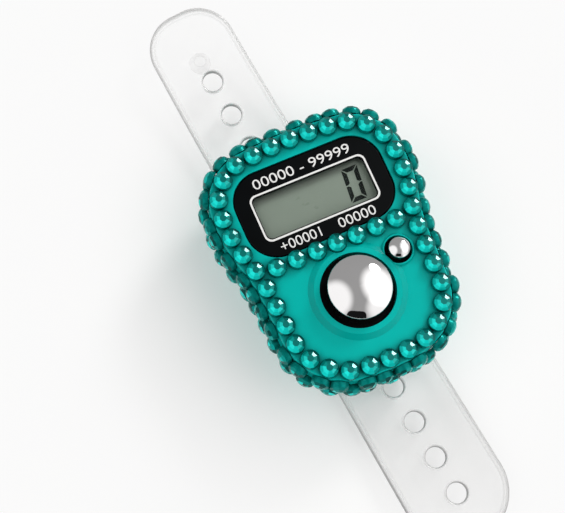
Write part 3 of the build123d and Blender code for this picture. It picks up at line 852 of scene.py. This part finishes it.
def ink_text(name, words, x, y, height, width):
    """Plain numbers printed on the mask, centred at x, y from the window's middle."""
    curve = bpy.data.curves.new(name, "FONT")
    curve.body = words
    curve.align_x = "CENTER"
    curve.align_y = "CENTER"
    curve.size = height * MM / FIGURE_HEIGHT
    curve.extrude = INK / 2
    curve.resolution_u = 6
    carrier = bpy.data.objects.new(name + "_curve", curve)
    bpy.context.scene.collection.objects.link(carrier)
    bpy.context.view_layer.update()
    shaped = carrier.evaluated_get(bpy.context.evaluated_depsgraph_get())
    made = bpy.data.meshes.new_from_object(shaped)
    bpy.data.objects.remove(carrier)
    xs = [v.co.x for v in made.vertices]
    ys = [v.co.y for v in made.vertices]
    squeeze = width * MM / (max(xs) - min(xs))
    mid_x, mid_y = (max(xs) + min(xs)) / 2, (max(ys) + min(ys)) / 2
    for v in made.vertices:
        v.co.x = WINDOW.x + x * MM + (v.co.x - mid_x) * squeeze
        v.co.y = WINDOW.y + y * MM + (v.co.y - mid_y)
        v.co.z += MASK_TOP + INK / 2
    piece(name, made, print_white, "case")


ink_text("print_range", "00000 - 99999", x=0.0, y=5.05, height=1.5, width=15.2)
ink_text("print_count", "+00001", x=-4.4, y=-4.85, height=1.48, width=6.2)
ink_text("print_reset", "00000", x=4.4, y=-4.85, height=1.48, width=5.8)


# Strap: one soft clear moulding with rounded edges and holes, in place of the plain solid

STRAP_T = 1.2
STRAP_HALF = 45.7
STRAP_NEAR_W = 16.1
STRAP_FAR_W = 13.6
STRAP_NEAR_CORNER = 7.5
STRAP_FAR_CORNER = 5.8
STRAP_MOUNT = next(m for m in frame["record"]["mounts"] if m["name"] == "finger_strap")
STRAP_TURN = math.atan2(-STRAP_MOUNT["axis"][0], STRAP_MOUNT["axis"][1])
STRAP_SHIFT = STRAP_MOUNT["pos_m"][0] / MM
STRAP_LOW = 1.0
HOLE_R = 1.5
HOLE_PITCH = 5.95
NEAR_HOLES = [-20.55 - HOLE_PITCH * k for k in range(4)]
FAR_HOLES = [21.97 + HOLE_PITCH * k for k in range(3)]
LIFT_START = 20.0
LIFT_R = 136.0
STUD_AT = 37.95
CORNER_STEPS = 24
HOLE_STEPS = 40
STUD_STEPS = 32
# Cuts across the strap, in millimetres along it, so that its tip rises in a curve
CUTS = range(-45, 46, 2)
SHARP_EDGE = math.radians(38)

# Painted shade: near end a little greyer: by how much, from where along the strap, and fully so how
# far on
NEAR_GREY = 0.17
NEAR_GREY_FROM = -15
NEAR_GREY_REACH = 12

# Edges of the strap and of its holes: how far in, how far from the middle plane, how grey (painted
# shade)
STRAP_EDGE = (
    (0.0, 0.0, 0.85),
    (0.05, 0.24, 0.85),
    (0.18, 0.42, 0.8),
    (0.3, 0.5, 0.6),
    (0.45, 0.545, 0.2),
    (0.58, 0.565, 0.06),
    (0.74, 0.583, 0.26),
    (0.88, 0.593, 0.1),
    (1.05, 0.6, 0.0),
)
HOLE_EDGE = (
    (0.0, 0.0, 1.0), (0.03, 0.36, 1.0), (0.12, 0.5, 0.75), (0.26, 0.575, 0.25), (0.4, 0.6, 0.0)
)
# Stud under the strap: radius, depth under its face, how grey (painted shade)
STUD = (
    (1.1, 0.0, 0.0),
    (0.92, 0.1, 0.12),
    (0.85, 0.3, 0.16),
    (0.85, 0.95, 0.16),
    (1.25, 1.05, 0.03),
    (1.6, 1.25, 0.03),
    (1.65, 1.45, 0.03),
    (1.5, 1.7, 0.03),
    (1.1, 1.85, 0.03),
    (0.5, 1.9, 0.03),
)


def strap_outline(inset):
    """Plan of the strap along its own line, set in from its edge, with rounded corners."""
    near, far, end = STRAP_NEAR_W / 2 - inset, STRAP_FAR_W / 2 - inset, STRAP_HALF - inset
    near_corner, far_corner = STRAP_NEAR_CORNER - inset, STRAP_FAR_CORNER - inset
    corners = [
        (-near, -end, near_corner),
        (near, -end, near_corner),
        (far, end, far_corner),
        (-far, end, far_corner),
    ]
    points = []
    for k, (x, y, corner) in enumerate(corners):
        here = Vector((x, y))
        back = (Vector(corners[k - 1][:2]) - here).normalized()
        ahead = (Vector(corners[(k + 1) % 4][:2]) - here).normalized()
        half = back.angle(ahead) / 2
        middle = here + (back + ahead).normalized() * corner / math.sin(half)
        start = here + back * corner / math.tan(half) - middle
        end_point = here + ahead * corner / math.tan(half) - middle
        sweep = start.angle_signed(end_point)
        for step in range(CORNER_STEPS + 1):
            point = middle + Matrix.Rotation(-sweep * step / CORNER_STEPS, 2) @ start
            points.append((point.x, point.y))
    return points


def circle(radius, along, count):
    """A round outline about a place on the strap's line."""
    turns = [2 * math.pi * k / count for k in range(count)]
    return [(radius * math.cos(a), along + radius * math.sin(a)) for a in turns]


def strap_lift(along):
    """How far the strap has risen at a place along it."""
    over = max(0.0, along - LIFT_START)
    return LIFT_R - math.sqrt(LIFT_R**2 - over**2)


def near_share(along):
    """0 on the far part of the strap, 1 on its near end."""
    return min(1.0, max(0.0, (NEAR_GREY_FROM - along) / NEAR_GREY_REACH))


def strap_mesh():
    """The whole strap: rounded edges, holes, a stud under the far end and a rising tip."""
    mesh = bmesh.new()
    level = mesh.verts.layers.float.new("painted_edge_shade")
    top_edges, under_edges = [], []

    def skin(rings, stuff=0):
        """Join rings of points, each with its height and painted edge shade, into a wall of one
        material.
        """
        made = []
        for points, height, value in rings:
            ring = []
            for x, y in points:
                vert = mesh.verts.new((x * MM, y * MM, height * MM))
                vert[level] = value
                ring.append(vert)
            made.append(ring)
        for a, b in zip(made, made[1:]):
            wall(mesh, a, b, stuff)
        return made[0], made[-1]

    def rim(ring):
        return [mesh.edges.get((ring[k - 1], ring[k])) for k in range(len(ring))]

    def edge_wall(outline, edge):
        rings = [(outline(inset), height, value) for inset, height, value in edge[::-1]]
        rings += [(outline(inset), -height, value) for inset, height, value in edge[1:]]
        top, under = skin(rings)
        top_edges.extend(rim(top))
        under_edges.extend(rim(under))

    edge_wall(strap_outline, STRAP_EDGE)
    for along in NEAR_HOLES + FAR_HOLES:
        edge_wall(lambda inset: circle(HOLE_R + inset, along, HOLE_STEPS), HOLE_EDGE)
    stud_rings = [
        (circle(radius, STUD_AT, STUD_STEPS), -STRAP_T / 2 - depth, value)
        for radius, depth, value in STUD
    ]
    root, tip = skin(stud_rings, stuff=1)
    under_edges.extend(rim(root))
    mesh.faces.new(tip).material_index = 1
    bmesh.ops.triangle_fill(mesh, edges=top_edges, use_beauty=True, normal=(0, 0, 1))
    bmesh.ops.triangle_fill(mesh, edges=under_edges, use_beauty=True, normal=(0, 0, -1))
    for along in CUTS:
        bmesh.ops.bisect_plane(
            mesh,
            geom=mesh.verts[:] + mesh.edges[:] + mesh.faces[:],
            plane_co=(0, along * MM, 0),
            plane_no=(0, 1, 0),
        )
    for vert in mesh.verts:
        along = vert.co.y / MM
        # Painted shade: the near end of the strap a little greyer
        vert[level] = min(1.0, vert[level] + NEAR_GREY * near_share(along))
        vert.co.z += strap_lift(along) * MM
    place = Matrix.Translation((STRAP_SHIFT * MM, 0, (STRAP_LOW + STRAP_T / 2) * MM))
    bmesh.ops.transform(mesh, matrix=place @ Matrix.Rotation(STRAP_TURN, 4, "Z"), verts=mesh.verts)
    bmesh.ops.recalc_face_normals(mesh, faces=mesh.faces)
    for face in mesh.faces:
        face.smooth = True
    for edge in mesh.edges:
        edge.smooth = edge.calc_face_angle(0.0) < SHARP_EDGE
    return finished(mesh, "strap_soft", strap_clear, stud_clear)


strap = piece("strap_soft", strap_mesh(), strap_clear, "strap")
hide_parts("strap")


# Floor, light and camera

FLOOR_HALF = 3.0


def floor():
    """A pale floor that keeps the object's shadow near it, with painted light fading the shadow
    further out.
    """
    mesh = bpy.data.meshes.new("floor")
    corners = [(-1, -1), (1, -1), (1, 1), (-1, 1)]
    mesh.from_pydata([(x * FLOOR_HALF, y * FLOOR_HALF, 0) for x, y in corners], [], [(0, 1, 2, 3)])
    made = bpy.data.objects.new("floor", mesh)
    bpy.context.scene.collection.objects.link(made)
    pale = mottled("floor_pale", grey(0.93), 0.6, swing=0.01, cells=0.02)
    pale.seen_pale(grey(0.955), near=0.26, far=0.85, from_mm=19, to_mm=46)
    dress(pale, made)


floor()

# Daylight at the level of the floor and overhead
DAYLIGHT = (0.40, 0.42)
DAYLIGHT_COLOUR = (1.0, 0.99, 0.98, 1)
DARKEST = 0.01

# Lights: angle in the picture, elevation, core and fading edge in degrees, and radiance
WINDOWS = ((18, 44, 22, 44, 1.1), (-32, 34, 10, 34, 0.8), (198, 39, 24, 42, 0.85))
KEY = ((54, 27, 6, 11, 18.0),)
LOW_WINDOWS = tuple((angle, 11, 6, 18, 0.5) for angle in (235, 270, 305))
# A dark card in front, seen in the chrome near its lower edge
CARD = ((256, 36), (262, 37), (268, 37), (274, 37), (280, 36))
DARK_CARD = tuple((angle, elevation, 5, 10, -3.0) for angle, elevation in CARD)


def picture_direction(angle, elevation):
    """A direction by its angle in the picture, from right towards up, and above the floor."""
    a, e = math.radians(angle), math.radians(elevation)
    level = PICTURE_RIGHT * math.cos(a) + PICTURE_UP * math.sin(a)
    return level * math.cos(e) + Vector((0, 0, math.sin(e)))


def studio(glows):
    """Soft daylight all round, with large soft-edged windows of light in it."""
    world = bpy.data.worlds.new("studio")
    world.use_nodes = True
    wires = Wiring(world.node_tree)
    towards = wires.node("ShaderNodeTexCoord").outputs["Generated"]
    split = wires.node("ShaderNodeSeparateXYZ")
    wires.link(towards, split.inputs["Vector"])
    light = wires.map_range(split.outputs["Z"], 0.0, 1.0, *DAYLIGHT)
    for angle, elevation, core, reach, radiance in glows:
        aim = tuple(picture_direction(angle, elevation))
        along = wires.vector("DOT_PRODUCT", towards, aim, 1).outputs["Value"]
        edge = math.cos(math.radians(reach)), math.cos(math.radians(core))
        glow = wires.map_range(along, *edge, 0.0, radiance, SMOOTH)
        light = wires.compute("ADD", light, glow)
    sky = wires.tree.nodes["Background"]
    sky.inputs["Color"].default_value = DAYLIGHT_COLOUR
    wires.link(wires.compute("MAXIMUM", light, DARKEST), sky.inputs["Strength"])
    bpy.context.scene.world = world


studio(WINDOWS + KEY + LOW_WINDOWS + DARK_CARD)
bpy.context.scene.view_settings.view_transform = "Standard"

lens = bpy.data.cameras.new("camera")
lens.sensor_fit = "HORIZONTAL"
lens.sensor_width = SENSOR
lens.lens = FOCAL_PX * SENSOR / PHOTO_WIDTH
lens.shift_x = -PRINCIPAL_RIGHT_PX / PHOTO_WIDTH
lens.shift_y = -PRINCIPAL_UP_PX / PHOTO_WIDTH
lens.clip_start = 0.01
lens.clip_end = 20.0
camera = bpy.data.objects.new("camera", lens)
bpy.context.scene.collection.objects.link(camera)
back = (CAMERA_AT - CAMERA_AIM).normalized()
side = PICTURE_UP.cross(back).normalized()
aim = Matrix((side, back.cross(side), back)).transposed().to_4x4()
camera.matrix_world = (
    Matrix.Translation(CAMERA_AT) @ aim @ Matrix.Rotation(math.radians(CAMERA_ROLL), 4, "Z")
)
bpy.context.scene.camera = camera
